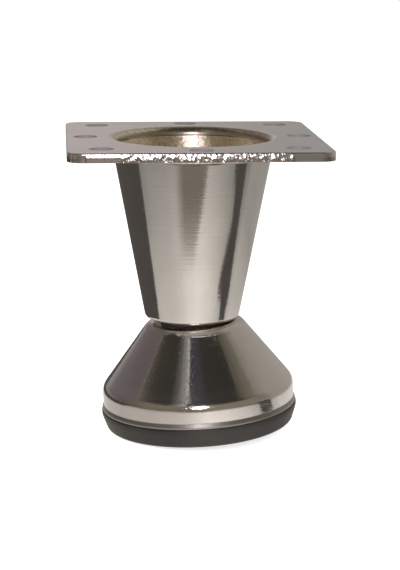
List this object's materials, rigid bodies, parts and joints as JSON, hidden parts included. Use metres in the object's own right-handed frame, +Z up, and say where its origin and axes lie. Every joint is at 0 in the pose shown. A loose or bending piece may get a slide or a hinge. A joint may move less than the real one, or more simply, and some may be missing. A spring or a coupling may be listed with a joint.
{
  "type": "adjustable furniture leg",
  "caption": "Short plated steel furniture leg: square screw plate, tapered upper cone, and a bell-shaped foot with a black pad that screws in and out at the neck.",
  "frame": {"origin": "under the plate's centre, at the height of the pad's lowest point", "axes": "+Z up, square to the plate; X and Y along the plate's sides; the foot's lower end leans towards +X"},
  "size_m": [0.085, 0.085, 0.1011],
  "materials": {
    "bright_plating": "bright nickel plate with faint polishing lines",
    "plain_steel": "plated steel fastener, slightly dull",
    "black_rubber": "matte",
    "black_plastic": "moulded, matte"
  },
  "bodies": {
    "leg": {"top_plate": "bright_plating", "upper_cone": "bright_plating", "plate_weld": "bright_plating", "cone_nut": "plain_steel", "nut_weld": "plain_steel"},
    "washer": {"neck_washer": "black_rubber"},
    "foot": {"foot_bell": "bright_plating", "foot_bolt": "plain_steel", "bolt_weld": "plain_steel", "foot_pad": "black_plastic"}
  },
  "joints": [
    {"name": "foot_drop", "type": "slide", "parent": "leg", "child": "washer", "axis": [0.0576, 0, -0.9983], "range_m": [0, 0.01]},
    {"name": "foot_turn", "type": "hinge", "parent": "washer", "child": "foot", "pos_m": [0.00081, 0, 0.03797], "axis": [0.0576, 0, -0.9983], "range_deg": [0, 2400]}
  ],
  "couplings": [
    {"joint": "foot_drop", "follows": "foot_turn", "m_per_rad": 0.00023873}
  ]
}
